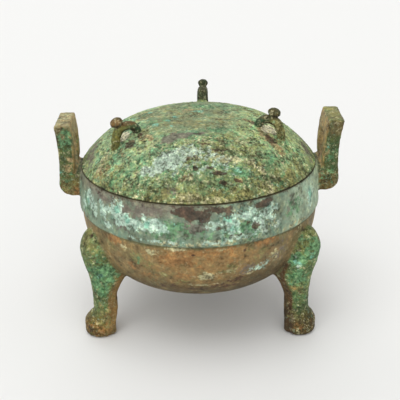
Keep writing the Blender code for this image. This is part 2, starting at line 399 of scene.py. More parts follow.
legs = {
    "left": (208.4, 0.0075, 0.0009, 0.0083, 0.0170, 0.0245),
    "right": (328.4, 0.0092, 0.0016, 0.0072, 0.0178, 0.0235),
    "rear": (88.4, 0.0083, 0.0013, 0.0078, 0.0174, 0.0240),
    "topDrop": 0.0062,  # from the ridge
    "kneeWidth": 0.028,
    "footDepth": 0.0195,
    "ankleDepth": 0.0158,
    "kneeDepth": 0.0323,
    "soleEdge": 0.0022,
    "backEdge": 0.0016,
    "sideStep": 0.0009,
    "wrapHeight": 0.047,  # where the rounded front wraps furthest round the side
    "wrapBelow": 0.008,
    "wrapAbove": 0.015,
    "wrap": {"left": 0.0077, "right": 0.004, "rear": 0.0055},
    "soleShares": (0.0, 0.15, 0.4, 1.0),
    "footTop": 0.12,
    "footEnd": (0.17, 0.6),  # share of the height, and how much of the foot is left there
    "stations": (
        (0.22, 0.0, 0.0, 0.0),
        (0.35, 0.0, 0.0, 0.0),
        (0.45, 0.35, 0.10, 0.2),
        (0.52, 0.55, 0.22, 0.55),
        (0.59, 0.72, 0.40, 1.0),
        (0.70, 0.92, 0.78, 1.0),
        (0.83, 1.0, 1.0, 1.0),
        (0.915, 0.6, 0.70, 1.0),
        (0.97, 0.0, 0.25, 1.0),
        (1.0, -0.9, -0.18, 1.0),
    ),
    "stationGap": 0.0008,
    "frontSteps": 20,
}
legTop = ridge - legs["topDrop"]


def legStations(knee, ankle, foot, ankleWidth, footWidth):
    # rows of height, width, front and back, up the leg
    footFront = bowl["ridgeRadius"] + foot
    footBack = footFront - legs["footDepth"]
    rows = []
    for share in legs["soleShares"]:
        inset = (1 - share) ** 2 * legs["soleEdge"]
        rows.append((share * legs["soleEdge"], footWidth - 2 * inset, footFront - inset, footBack + inset))
    rows.append((legs["footTop"] * legTop, footWidth, footFront, footBack))
    front = bowl["ridgeRadius"] + ankle
    back = front - legs["ankleDepth"]
    height, share = legs["footEnd"]
    width = ankleWidth + share * (footWidth - ankleWidth)
    rows.append((height * legTop, width, front + share * (footFront - front), (footBack + back) / 2))
    spread = legs["kneeWidth"] - ankleWidth
    swell = knee - ankle
    root = back - (bowl["ridgeRadius"] + knee - legs["kneeDepth"])
    for height, wide, out, deep in legs["stations"]:
        rows.append((height * legTop, ankleWidth + wide * spread, front + out * swell, back - deep * root))
    return np.array(rows)


def smoothRows(rows):
    # a curve without overshoot through every row
    heights, values = rows[:, 0], rows[:, 1:]
    slope = np.diff(values, axis=0) / np.diff(heights)[:, None]
    before, after = slope[:-1], slope[1:]
    flat = before * after <= 0
    mean = np.where(flat, 0.0, 2 * before * after / np.where(flat, 1.0, before + after))
    tangent = np.vstack([slope[:1], mean, slope[-1:]])
    fine = np.unique(np.concatenate([heights, np.arange(0.0, heights[-1], legs["stationGap"])]))
    k = np.clip(np.searchsorted(heights, fine, side="right") - 1, 0, len(heights) - 2)
    step = (heights[k + 1] - heights[k])[:, None]
    t = (fine - heights[k])[:, None] / step
    curve = (2 * t**3 - 3 * t**2 + 1) * values[k] + (t**3 - 2 * t**2 + t) * step * tangent[k]
    curve += (3 * t**2 - 2 * t**3) * values[k + 1] + (t**3 - t**2) * step * tangent[k + 1]
    return np.hstack([fine[:, None], curve])


def legSection(wrap, height, width, front, back):
    half = width / 2
    steps = legs["frontSteps"]
    side = half - legs["sideStep"]
    edge = legs["backEdge"]
    reach = height - legs["wrapHeight"]
    reach /= legs["wrapAbove"] if reach > 0 else legs["wrapBelow"]
    bulge = half + wrap * exp(-reach ** 2)
    shoulder = front - bulge
    step = shoulder - legs["sideStep"]
    section = [(step, side, height), (back + edge, side, height), (back, side - edge, height)]
    section += [(back, edge - side, height), (back + edge, -side, height), (step, -side, height)]
    for i in range(steps + 1):
        angle = -pi / 2 + pi * i / steps
        section.append((shoulder + bulge * cos(angle), half * sin(angle), height))
    return section


def buildLeg(name):
    azimuth, *sizes = legs[name]
    wrap = legs["wrap"][name]
    body = loft(name, [legSection(wrap, *row) for row in smoothRows(legStations(*sizes))])
    body.data.transform(Matrix.Rotation(radians(azimuth), 4, "Z"))
    return body


# Lid's loops: azimuth, the edge in to the outer foot, foot to foot, rise above the dome,
# then the knob's place on the arch, its lean and its diameter

loops = {
    "left": (208.6, 0.0202, 0.0186, 0.0095, 62.0, 24.0, 0.0091),
    "right": (338.0, 0.0226, 0.0183, 0.0087, 78.0, 12.0, 0.0090),
    "rear": (85.6, 0.0205, 0.0187, 0.0095, 62.0, 20.0, 0.0078),
    "sink": 0.0007,
    "squareness": 2.6,  # the arch's curve: two makes an ellipse
    "barWidth": 0.0075,
    "barDepth": 0.006,
    "knobThickness": 0.006,
    "neck": 0.006,
    "knobStand": 0.0056,
    "knobUnderside": 50.0,
    "knobDish": 0.0007,
    "knobShoulder": 84.0,
    "knobSteps": 18,
    "knobFacets": (32, 60),
}


def domeHeight(radius):
    share = radius / rimRadius
    return lid["rise"] - (lid["rise"] - lidGap - lid["edge"]) * share ** lid["fullness"]


def archSizes(inset, span, rise):
    outer = rimRadius - inset
    springing = domeHeight(outer + loops["barDepth"] / 2) - loops["sink"]
    return outer, outer - span, ledge + springing, ledge + domeHeight(outer - span / 2) + rise


def archTree():
    tree, given = geometryTree("arched bar", (
        ("Geometry", "Geometry", None),
        ("Outer Foot", "Float", 0.065),
        ("Inner Foot", "Float", 0.046),
        ("Springing", "Float", 0.137),
        ("Top", "Float", 0.154),
        ("Squareness", "Float", 2.6),
        ("Bar Width", "Float", 0.0075),
        ("Bar Depth", "Float", 0.006),
        ("Azimuth", "Float", 0.0),
        ("Stations", "Int", 48),
        ("Sides", "Int", 24),
        ("Material", "Material", None),
    ))
    line = node(tree, "GeometryNodeCurvePrimitiveLine").outputs["Curve"]
    path = node(tree, "GeometryNodeResampleCurve", {"Curve": line, "Count": given["Stations"]}).outputs[0]
    share = node(tree, "GeometryNodeSplineParameter").outputs["Factor"]
    turn = maths(tree, "MULTIPLY", share, pi)
    power = maths(tree, "DIVIDE", 2.0, given["Squareness"])
    feet = given["Outer Foot"], given["Inner Foot"]
    middle = maths(tree, "MULTIPLY", maths(tree, "ADD", *feet), 0.5)
    half = maths(tree, "MULTIPLY", maths(tree, "SUBTRACT", *feet), 0.5)
    across = maths(tree, "COSINE", turn)
    reach = maths(tree, "POWER", maths(tree, "ABSOLUTE", across), power)
    reach = maths(tree, "MULTIPLY", reach, maths(tree, "SIGN", across))
    lift = maths(tree, "POWER", maths(tree, "MAXIMUM", maths(tree, "SINE", turn), 0.0), power)
    rise = maths(tree, "SUBTRACT", given["Top"], given["Springing"])
    point = node(tree, "ShaderNodeCombineXYZ", {
        "X": maths(tree, "MULTIPLY_ADD", reach, half, middle),
        "Z": maths(tree, "MULTIPLY_ADD", lift, rise, given["Springing"]),
    }).outputs[0]
    bent = node(tree, "GeometryNodeSetPosition", {"Geometry": path, "Position": point}).outputs[0]
    upright = node(tree, "GeometryNodeSetCurveNormal", {"Curve": bent, "Normal": (0.0, 1.0, 0.0)},
                   mode="FREE")
    ring = node(tree, "GeometryNodeCurvePrimitiveCircle", {"Resolution": given["Sides"], "Radius": 0.5})
    ring = ring.outputs["Curve"]
    size = node(tree, "ShaderNodeCombineXYZ", {"X": given["Bar Width"], "Y": given["Bar Depth"], "Z": 1.0})
    bar = node(tree, "GeometryNodeTransform", {"Geometry": ring, "Scale": size.outputs[0]}).outputs[0]
    swept = node(tree, "GeometryNodeCurveToMesh", {
        "Curve": upright.outputs[0],
        "Profile Curve": bar,
        "Fill Caps": True,
    }).outputs[0]
    swing = node(tree, "ShaderNodeCombineXYZ", {"Z": given["Azimuth"]}).outputs[0]
    placed = node(tree, "GeometryNodeTransform", {"Geometry": swept, "Rotation": swing}).outputs[0]
    endTree(tree, placed, given["Material"])
    return tree


arching = archTree()


def buildLoop(name):
    azimuth, inset, span, rise, along, lean, diameter = loops[name]
    outer, inner, springing, top = archSizes(inset, span, rise)
    bar = runTree(addObject(name + " loop", bpy.data.meshes.new(name)), arching, {
        "Outer Foot": outer,
        "Inner Foot": inner,
        "Springing": springing,
        "Top": top,
        "Squareness": loops["squareness"],
        "Bar Width": loops["barWidth"],
        "Bar Depth": loops["barDepth"],
        "Azimuth": radians(azimuth),
    })
    profile = [(0.0, 0.0), (loops["neck"] / 2, 0.0)]
    under = loops["knobUnderside"]
    steps = loops["knobSteps"]
    for i in range(steps + 1):
        angle = radians(-under + (under + loops["knobShoulder"]) * i / steps)
        height = loops["knobStand"] + loops["knobThickness"] / 2 * sin(angle)
        profile.append((diameter / 2 * cos(angle), height))
    profile.append((0.0, profile[-1][1] - loops["knobDish"]))
    knob = turned(name + " knob", profile, *loops["knobFacets"])
    turn = radians(along)
    power = 2 / loops["squareness"]
    place = Vector(((outer + inner) / 2 + (outer - inner) / 2 * cos(turn) ** power, 0.0,
                    springing + (top - springing) * sin(turn) ** power))
    knob.data.transform(Matrix.Rotation(radians(azimuth), 4, "Z") @ Matrix.Translation(place)
                        @ Matrix.Rotation(radians(lean), 4, "Y"))
    return [faceOut(bar), knob]


def domeCurve(radius, height, start, steps=60, ring=False):
    points = []
    for i in range(steps + 1):
        share = sin(pi / 2 * (steps - i) / steps) if i < steps else 0.0
        z = start + height * (1 - share ** lid["fullness"])
        if ring:
            within = (lid["ringRadius"] - radius * share) / lid["ringWidth"]
            z += lid["ringStep"] * (min(max(within, -1.0), 1.0) - 1) / 2
        points.append((radius * share, z))
    return points


def lidOutside():
    rim = ledge + lidGap
    profile = [(0.0, rim), (rimRadius, rim)]
    height = lid["rise"] - lidGap - lid["edge"]
    profile += domeCurve(rimRadius, height, rim + lid["edge"], lid["domeSteps"], ring=True)
    return turned("lid outside", profile, *lid["facets"])


def lidHollow():
    rim = ledge + lidGap
    radius = rimRadius - lid["wall"]
    profile = [(0.0, rim - cutOverrun), (radius, rim - cutOverrun)]
    profile += domeCurve(radius, lid["rise"] - lidGap - lid["wall"], rim, lid["hollowSteps"])
    return turned("lid hollow", profile, *lid["hollowFacets"]), profile


# Weathering: grain, broad unevenness and crust lift the skin along its normals

relief = {
    "grainDetail": 1.5,
    "grainGain": 2.4,
    "lumpDetail": 2.0,
    "lumpGain": 2.0,
    "lumpSeed": 7.3,
    "crustBase": 0.8,
    "crustGrain": 1.2,
}


def weatherTree():
    tree, given = geometryTree("weathered skin", (
        ("Geometry", "Geometry", None),
        ("Grain Size", "Float", 0.0022),
        ("Grain Height", "Float", 0.0003),
        ("Lump Size", "Float", 0.016),
        ("Lump Height", "Float", 0.00025),
        ("Crust Height", "Float", 0.0004),
        ("Pit Depth", "Float", 0.0005),
        ("Seed", "Int", 3),
        ("Material", "Material", None),
    ))

    def mask(name):
        made = node(tree, "GeometryNodeInputNamedAttribute", {"Name": name}, data_type="FLOAT")
        return made.outputs["Attribute"]

    def unevenness(size, detail, laterSeed):
        made = node(tree, "ShaderNodeTexNoise", {
            "W": maths(tree, "ADD", given["Seed"], laterSeed),
            "Scale": maths(tree, "DIVIDE", 1.0, size),
            "Detail": detail,
        }, noise_dimensions="4D")
        return maths(tree, "SUBTRACT", made.outputs[0], 0.5)

    grain = unevenness(given["Grain Size"], relief["grainDetail"], 0.0)
    lump = unevenness(given["Lump Size"], relief["lumpDetail"], relief["lumpSeed"])
    rough = product(tree, grain, relief["grainGain"], given["Grain Height"], mask("grain"))
    broad = product(tree, lump, relief["lumpGain"], given["Lump Height"], mask("skin"))
    thick = maths(tree, "ADD", maths(tree, "MULTIPLY", grain, relief["crustGrain"]), relief["crustBase"])
    crust = product(tree, thick, mask("raised"), given["Crust Height"])
    pit = maths(tree, "MULTIPLY", mask("pit"), given["Pit Depth"])
    lift = maths(tree, "SUBTRACT", maths(tree, "ADD", maths(tree, "ADD", rough, broad), crust), pit)
    normal = node(tree, "GeometryNodeInputNormal").outputs[0]
    offset = node(tree, "ShaderNodeVectorMath", {0: normal, "Scale": lift}, operation="SCALE").outputs[0]
    kept = node(tree, "GeometryNodeStoreNamedAttribute", {
        "Geometry": given["Geometry"],
        "Name": "rise",
        "Value": maths(tree, "ADD", grain, 0.5),
    }, data_type="FLOAT", domain="POINT").outputs[0]
    moved = node(tree, "GeometryNodeSetPosition", {"Geometry": kept, "Offset": offset}).outputs[0]
    rounded = node(tree, "GeometryNodeSetShadeSmooth", {"Geometry": moved}).outputs[0]
    endTree(tree, rounded, given["Material"])
    return tree


weathering = weatherTree()


# The two castings, each fused at its own voxel size

casting = {
    "vesselVoxel": 0.00114,
    "lidVoxel": 0.0007,
}


def placed(cast, hollow):
    cutOut(cast, hollow)
    cast.data.transform(Matrix.Translation((axisX, axisY, 0)))
    return cast


def buildVessel():
    hollow, inside = bowlHollow()
    bodies = [bowlOutside()]
    bodies.append(buildEar("left ear", -1, ear["leftFlare"]))
    bodies.append(buildEar("right ear", 1, ear["rightFlare"]))
    bodies += [buildLeg(name) for name in ("left", "right", "rear")]
    return placed(fused(joined("vessel", bodies), casting["vesselVoxel"]), hollow), inside


def buildLid():
    hollow, inside = lidHollow()
    bodies = [lidOutside()]
    for name in ("left", "right", "rear"):
        bodies += buildLoop(name)
    return placed(fused(joined("lid", bodies), casting["lidVoxel"]), hollow), inside


# Random fields and marks, worked out at every point of the skin

# A fixed hash gives each cell of a cloud its value, and the seed moves the cells
hashSteps = np.array((73856093, 19349663, 83492791))
hashFactor = 1274126177
seedStride = 31.7
insideReach = (0.15, 0.4)  # millimetres from the cut hollow's own surface


def cloud(points, size, seed, octaves=3):
    # soft noise from 0 to 1, the same on every run
    total = np.zeros(len(points))
    weight = 1.0
    whole = 0.0
    for octave in range(octaves):
        grid = points * (2 ** octave / size) + seedStride * (seed + octave)
        cell = np.floor(grid).astype(np.int64)
        part = grid - cell
        part = part * part * (3 - 2 * part)
        for corner in np.ndindex(2, 2, 2):
            key = (cell + corner) @ hashSteps
            key = (key ^ (key >> 13)) * hashFactor
            value = ((key ^ (key >> 16)) & 0xffff) / 0xffff
            near = np.where(np.array(corner, bool), part, 1 - part)
            total += weight * value * near.prod(axis=1)
        whole += weight
        weight /= 2
    return total / whole


def ramp(values, low, high):
    share = np.clip((values - low) / (high - low), 0, 1)
    return share * share * (3 - 2 * share)


def patches(places, rows, warp):
    # each is at its full strength within half its reach and at half strength at its reach
    field = np.zeros(len(places))
    width = places.shape[1]
    for row in rows:
        away = (places - np.array(row[:width])) / np.array(row[width:-1])
        distance = np.sqrt((away ** 2).sum(axis=1)) + warp
        field = np.maximum(field, row[-1] * np.clip(1.5 - distance, 0, 1))
    return field


def paint(red, green, blue):
    # screen values from 0 to 255, made linear
    return np.array([((c / 255 + 0.055) / 1.055) ** 2.4 for c in (red, green, blue)])


def blend(below, colour, amount):
    return below + (colour - below) * amount[:, None]


def readSkin(obj):
    # points in millimetres from the bowl's axis, and their outward directions
    mesh = obj.data
    points = np.empty(len(mesh.vertices) * 3)
    normals = np.empty(len(mesh.vertices) * 3)
    mesh.vertices.foreach_get("co", points)
    mesh.vertices.foreach_get("normal", normals)
    points = (points.reshape(-1, 3) - (axisX, axisY, 0)) * 1000
    return points, normals.reshape(-1, 3)


def storeField(obj, name, values):
    attribute = obj.data.attributes.new(name, "FLOAT", "POINT")
    attribute.data.foreach_set("value", np.ascontiguousarray(values, dtype=np.float32))


def storeColour(obj, name, colours):
    attribute = obj.data.attributes.new(name, "FLOAT_COLOR", "POINT")
    filled = np.ones((len(colours), 4), dtype=np.float32)
    filled[:, :3] = colours
    attribute.data.foreach_set("color", filled.ravel())


def insideShare(points, profile):
    # one on the cut hollow's own surface
    radius = np.hypot(points[:, 0], points[:, 1])
    nearest = np.full(len(points), np.inf)
    line = np.array(profile) * 1000
    for (r0, z0), (r1, z1) in zip(line, line[1:]):
        along = np.array((r1 - r0, z1 - z0))
        square = max(along @ along, 1e-9)
        share = np.clip(((radius - r0) * along[0] + (points[:, 2] - z0) * along[1]) / square, 0, 1)
        gap = np.hypot(radius - r0 - share * along[0], points[:, 2] - z0 - share * along[1])
        nearest = np.minimum(nearest, gap)
    return 1 - ramp(nearest, *insideReach)


# Marks on the lid, seen from above: x and y, reach across and along, and strength

lidMarks = {
    "pale": [
        (-20, -59, 9, 7, 1.35), (-12, -57, 7, 6, 0.85), (-4, -55, 8, 5, 0.72), (4, -57, 7, 6, 0.62),
        (-29, -63, 8, 5, 0.7), (-35, -62, 4, 3, 0.9), (-15, -65, 10, 5, 0.62), (-9, -50, 7, 3, 0.6),
        (14, -62, 12, 7, 0.5), (0, -66, 16, 5, 0.48),
    ],
    "cream": [
        (17, -60, 6, 3, 0.85), (25, -58, 6, 2.5, 0.85), (34, -58, 6, 2, 0.7), (-7, -72, 7, 1.8, 0.7),
        (-66, -34, 5, 8, 0.6), (-44, -22, 3, 3, 0.7), (42, -16, 5, 4, 0.7), (2, -43, 14, 5, 0.5),
        (27, -41, 12, 6, 0.52), (-34, -42, 8, 7, 0.5), (42, -59, 3, 5, 0.6), (-9, -82, 12, 2.5, 0.6),
        (12, -83, 12, 2, 0.6), (46, -69, 6, 4, 0.6),
    ],
    # the dome seen through the two loops: its own cream, brightened as painted light where the arches shade
    # it
    "creamAndPaintedLight": [(-51.5, -20.5, 3.4, 4.2, 2.6), (49.8, -15.5, 4.4, 5, 2.6)],
    "earth": [
        (-37, -31, 6, 5, 0.75), (-51, -38, 4, 5, 0.65), (-33, -36, 5, 4, 0.6), (35, -9, 4, 3, 0.8),
        (47, -26, 4, 7, 0.8), (52, -34, 4, 6, 0.75), (56, -38, 3, 5, 0.65), (-8, -72, 6, 1.5, 0.6),
        (27, -71, 3, 1.2, 0.8), (44, -20, 4, 7, 0.7), (-66, -42, 6, 7, 0.5), (-7, 12, 9, 3, 0.55),
        (-40, 2, 14, 5, 0.45), (-20, -31, 7, 3, 0.5),
    ],
    # dark red-brown stains, and a few painted shadows beside the loops' feet
    "stainAndShade": [
        (13, -69.3, 4.5, 1.2, 1.15), (15.5, -73.9, 2.6, 1.4, 1.3), (26, -71.5, 2.8, 1.0, 1.2),
        (7, -66.5, 3, 1.0, 0.9), (-1.7, -67, 1.6, 1.2, 1.0), (-3.5, -60, 4.5, 2.2, 0.8),
        (6, -47, 5, 1.6, 0.8), (16, -52, 5, 1.4, 0.75), (11, -53, 3, 1.2, 0.7), (36, -41, 3.5, 1.2, 0.7),
        # the last three here, beside the left and right loops, are painted shadows under the arches
        (1, -35.5, 5, 1.2, 0.7), (-46, -34, 3.5, 4.5, 1.1), (-40, -28, 4, 3, 0.8), (50, -30, 3, 4.5, 1.0),
        (38, -12, 4, 2.5, 0.8), (22, -10, 14, 1.0, 0.55), (33, -20, 8, 1.0, 0.5),
    ],
    "ochre": [
        (22, -38, 14, 8, 0.55), (62, -53, 7, 9, 0.8), (69, -41, 5, 8, 0.65), (31, -77, 14, 4, 0.75),
        (-66, -42, 9, 9, 0.62), (-58, -55, 8, 8, 0.6), (-25, -78, 12, 4, 0.75), (-9, -82, 14, 3.5, 0.85),
        (12, -82, 14, 3.5, 0.8), (46, -69, 10, 4, 0.75), (34, -49, 8, 6, 0.55), (40, 14, 20, 8, 0.45),
        (55, -60, 5, 5, 0.6), (10, -20, 24, 12, 0.45),
    ],
    "teal": [
        (15, -29, 12, 5, 0.7), (48, -48, 7, 5, 0.85), (27, -66, 7, 4, 0.7), (8, -64, 7, 3, 0.65),
        (-40, -53, 7, 6, 0.55), (-53, -56, 7, 6, 0.6), (-37, -67, 7, 5, 0.55), (60, -30, 6, 10, 0.5),
        (-28, -10, 14, 10, 0.55), (5, 20, 30, 8, 0.5), (56, -62, 3, 4, 0.6),
    ],
    "turquoise": [
        (-29, -16, 3, 2.6, 0.9), (-19, -21, 2.2, 2, 0.85), (-16, -3, 3, 3, 0.85), (-45, 6, 4, 3.5, 0.75),
        (-21, -10, 2, 2, 0.75), (0, 9, 6, 3.5, 0.85), (-37, -5, 2, 2, 0.7), (-3, 4, 3, 2, 0.6),
        (26, -66, 3, 2, 0.6), (49, -47, 3, 2, 0.6), (-35, 14, 5, 4, 0.5),
    ],
    "grey": [
        (-19, -39, 5, 6, 1.4), (-12, -37, 7, 3, 1.3), (-4, -35.5, 7, 2, 1.2), (3, -34.4, 4, 1.4, 0.9),
        (-19, -77, 5, 2.6, 0.75), (77, -4, 4, 22, 0.75), (72, 14, 4, 14, 0.6), (-39, -26, 4, 3, 0.6),
        (-76, -8, 4, 20, 0.8),
    ],
}

# Marks on the bowl's wall: azimuth in degrees and height, reach round and up, and strength

wallMarks = {
    "pale": [
        (299, 98, 5, 3, 0.8), (306, 98, 4, 3, 0.7), (300, 110, 4, 3.5, 0.6), (286, 97, 10, 2.5, 0.55),
        (296, 103, 6, 4, 0.6),
    ],
    "cream": [
        (233, 83, 3.5, 2.6, 0.8), (322, 86, 5, 2, 0.7), (293, 64, 6, 2, 0.6), (306, 74, 4, 5, 0.6),
        (273, 65.5, 8, 3.4, 0.95), (270, 57, 12, 1.5, 0.6), (260, 87.5, 9, 1.6, 0.8),
        (248, 84, 5, 2.2, 0.7), (280, 87, 12, 1.0, 0.5), (284, 69, 4, 2, 0.55), (252, 67, 3, 2.6, 0.55),
        (260, 92, 20, 1.6, 0.6), (318, 92.5, 14, 2.2, 0.65), (278, 93, 14, 2, 0.65),
    ],
    "crust": [
        (297, 66.5, 9, 2.6, 0.66), (302, 70, 5, 4, 0.6), (208.6, 108, 6, 6, 1.1), (213, 104, 6, 4, 1.05),
        (221, 105, 5, 5, 1.1), (219, 110, 3, 3, 0.8), (229, 108, 7, 6, 1.3), (234, 103.5, 7, 5, 1.25),
        (240, 101.5, 7, 4, 1.2), (248, 103, 6, 5, 1.2), (252.5, 102, 5, 3.4, 1.1), (245, 107, 3, 3, 0.8),
        (225, 96.5, 4, 2.4, 1.0), (215, 99, 4, 3, 0.7), (278, 105, 8, 5, 0.72), (284, 107, 8, 6, 0.95),
        (291, 110, 8, 5, 0.8), (297, 105, 9, 7, 0.72), (283, 101, 6, 3, 0.95), (303, 108, 5, 8, 0.7),
        (332, 105, 3.5, 10, 0.8), (336, 108, 4, 8, 0.6), (255, 93, 14, 1.5, 0.62),
        (272, 93, 14, 1.6, 0.62), (288, 95, 14, 2, 0.7), (240, 93, 6, 1.5, 0.55), (202, 102, 5, 9, 0.6),
        (345, 104, 6, 10, 0.2),
    ],
    "turquoise": [
        (230.5, 109.5, 2.8, 2.6, 1.1), (246, 103, 2.6, 3, 0.85), (236, 104, 4, 2.4, 0.7),
        (208, 105, 2.5, 3, 0.75), (282, 110, 4, 3, 0.85), (284, 102, 4, 2, 0.9), (333, 107, 2.5, 7, 0.85),
        (302, 112, 3, 3, 0.6), (259, 105, 6, 4, 0.45),
    ],
    "teal": [
        (260, 104.5, 8, 5, 0.85), (252, 98, 16, 4, 0.6), (206, 102, 10, 12, 0.6), (290, 102, 16, 9, 0.72),
        (319, 105, 12, 9, 0.55), (270, 99, 10, 4, 0.55), (240, 76, 5, 4, 0.6), (262, 111, 6, 3, 0.5),
    ],
    "stainAndShade": [
        (263.7, 114.5, 6, 4, 1.4), (267.5, 111.4, 6, 4, 1.4), (272, 111.5, 6, 3.5, 1.1),
        (279.5, 115.5, 6, 2.6, 1.3), (282, 112, 4, 2.8, 1.1), (298.5, 114.5, 6, 2.8, 1.4),
        (302, 116, 5, 2, 1.1), (294.4, 101.5, 3, 2.4, 1.3), (288, 113, 2, 1.5, 0.8),
        (291, 104, 2, 2, 0.7), (278, 103, 2, 1.6, 0.7), (306, 106, 2, 2, 0.6), (285, 97, 3.5, 1.2, 0.7),
        (216, 116, 8, 2, 0.55), (260, 92, 8, 1, 0.5), (288, 60, 9, 5, 0.55), (252, 54, 12, 4, 0.5),
        (267, 84, 1.6, 0.9, 1.0), (290, 84, 1.2, 1.4, 0.9), (280, 54, 16, 3, 0.6), (268, 52, 14, 3, 0.55),
        # the three at 118 mm are a painted shadow line under the lid's edge
        (302, 74, 5, 4, 0.5), (225, 118, 30, 1, 0.6), (270, 118, 40, 1, 0.6), (320, 118, 30, 1, 0.5),
    ],
    "grey": [
        (222, 113, 14, 4, 0.7), (238, 111, 10, 5, 0.75), (248, 113, 12, 4, 0.8), (268, 104, 10, 5, 0.85),
        (232, 98, 16, 3, 0.55), (292, 68, 9, 6, 0.55), (318, 108, 9, 8, 0.5), (310, 76, 6, 10, 0.5),
    ],
    "rust": [
        (258, 80, 12, 5, 0.9), (266, 85, 16, 3, 0.8), (280, 86, 14, 3, 0.72), (301, 87, 8, 2.6, 0.9),
        (268, 75, 10, 4, 0.5), (285, 80, 10, 5, 0.5), (228, 86, 9, 4, 0.85), (205, 92, 8, 3, 0.5),
        (262, 66, 9, 4, 0.6), (246, 62, 8, 5, 0.55), (236, 68, 6, 5, 0.6), (275, 80, 4, 3, 0.6),
    ],
    "ochre": [
        (240, 76, 6, 5, 0.8), (246, 70, 8, 6, 0.5), (284, 70, 8, 5, 0.6), (298, 76, 9, 6, 0.5),
        (252, 66, 3, 3, 0.8), (225, 80, 6, 6, 0.45), (292, 84, 5, 3, 0.6), (262, 60, 14, 4, 0.5),
        (300, 80, 5, 4, 0.6),
    ],
}

# Marks on the legs and ears: x, y, z, reach and strength

limbMarks = {
    "teal": [
        (-69, -50, 53, 11, 1.0), (-72, -47, 43, 8, 0.75), (-71, -47, 34, 6, 0.65), (66, -57, 63, 8, 1.2),
        (75, -50, 70, 9, 1.2), (68, -54, 48, 8, 0.85), (-72, -50, 68, 7, 0.5), (-97, 0, 128, 14, 0.6),
        (97, -9, 128, 12, 0.6), (-97, -17, 112, 8, 0.5), (92, -17, 112, 9, 0.5), (70, -50, 28, 6, 0.45),
        (-92, -17, 142, 7, 0.7),
    ],
    "turquoise": [
        (66, -58, 60, 3.5, 0.85), (77, -55, 66, 3, 0.7), (68, -54, 72, 2.4, 0.6), (-71, -50, 50, 3, 0.6),
        (-98, -17, 118, 3, 0.35), (92, -17, 134, 3, 0.4), (92, -17, 109, 3, 0.4), (-72, -48, 28, 3, 0.5),
    ],
    "pale": [(68, -57, 57, 2.4, 0.8), (66, -56, 66, 1.8, 0.6), (64, -60, 61, 2, 0.6)],
    "ochre": [
        (-72, -50, 78, 12, 0.6), (-71, -48, 15, 8, 0.6), (68, -50, 15, 8, 0.5), (-75, -47, 63, 8, 0.5),
        (0, 82, 14, 9, 0.6), (68, -52, 38, 6, 0.6), (-72, -52, 26, 7, 0.75), (-92, -17, 106, 7, 0.6),
    ],
    "stainAndShade": [
        (-75.5, -47, 81, 1.4, 0.95), (-74, -52, 63, 1.3, 0.9), (-67, -56, 76, 1.2, 0.8),
        (-76, -46, 71, 1.2, 0.8), (72, -52, 36, 3, 0.6), (-84, -17, 114, 3, 0.5),
    ],
    "cream": [
        (-98, 0, 151, 7, 0.6), (-100, -12, 150, 6, 0.45), (-98, 14, 150, 8, 0.6), (98, 4, 151, 8, 0.35),
        (-99, -16, 131, 4, 0.45), (75, -55, 70, 2, 0.6), (88, -14, 137, 3, 0.5),
    ],
    "earth": [
        (-89, -17, 126, 5, 0.8), (-92, -18, 121, 4, 0.6), (-92, -14, 101, 5, 0.5), (88, -14, 130, 8, 0.5),
        (84, -15, 113, 5, 0.75),
    ],
    "rust": [
        (-74, -56, 6, 8, 0.7), (-82, -48, 8, 5, 0.5), (70, -58, 8, 5, 0.5), (-68, -50, 22, 6, 0.5),
        (64, -56, 38, 6, 0.6), (-86, -17, 103, 4, 0.95), (92, -17, 145, 5, 0.4), (-94, -17, 144, 4, 0.4),
    ],
}

layers = ("grey", "ochre", "rust", "teal", "earth", "cream", "crust", "turquoise", "pale", "stainAndShade", "creamAndPaintedLight")

# Two clouds fray the marks' edges: share, then the cloud's size in millimetres, seed and octaves

frayed = ((1.1, 6.0, 5, 3), (0.7, 2.4, 9, 2))


def storeMarks(obj, points, groups):
    warp = sum(share * (cloud(points, *shape) - 0.5) for share, *shape in frayed)
    fields = {}
    for name in layers:
        field = np.zeros(len(points))
        for places, marks, share in groups:
            field = np.maximum(field, share * patches(places, marks.get(name, ()), warp))
        fields[name] = field
        storeField(obj, name, field)
    return fields


def skinFields(points, normals, broadCloud):
    # what the shades below can follow at each point
    x, y, height = points.T
    radius = np.hypot(x, y)
    return {
        "x": x,
        "y": y,
        "aside": np.abs(y),
        "height": height,
        "radius": radius,
        "azimuth": np.degrees(np.arctan2(y, x)) % 360,
        "cloud": cloud(points, *broadCloud),
        "up": normals[:, 2],
        "outward": (normals[:, 0] * x + normals[:, 1] * y) / np.maximum(radius, 1),
        "inward": -np.sign(x) * normals[:, 0],
    }


def follow(fields, strength, *zones):
    # a zone is a field, where the effect begins on it and where it is full
    amount = np.full(len(fields["height"]), float(strength))
    for name, begins, full in zones:
        amount = amount * ramp(fields[name], begins, full)
    return amount


def shaded(fields, ground, rows):
    colour = np.tile(paint(*ground), (len(fields["height"]), 1))
    for shade, strength, *zones in rows:
        colour = blend(colour, paint(*shade), follow(fields, strength, *zones))
    return colour


# Heights that the paint keeps to, in millimetres as all of its lengths

ledgeHeight = ledge * 1000
ridgeHeight = ridge * 1000
openingSide = ear["openingWidth"] * 500
openingFoot = (stubTop + ear["sill"]) * 1000
openingHead = openingFoot + ear["openingHeight"] * 1000

# The lid's ground: a shade, then rows of shade, strength and the zones that it follows

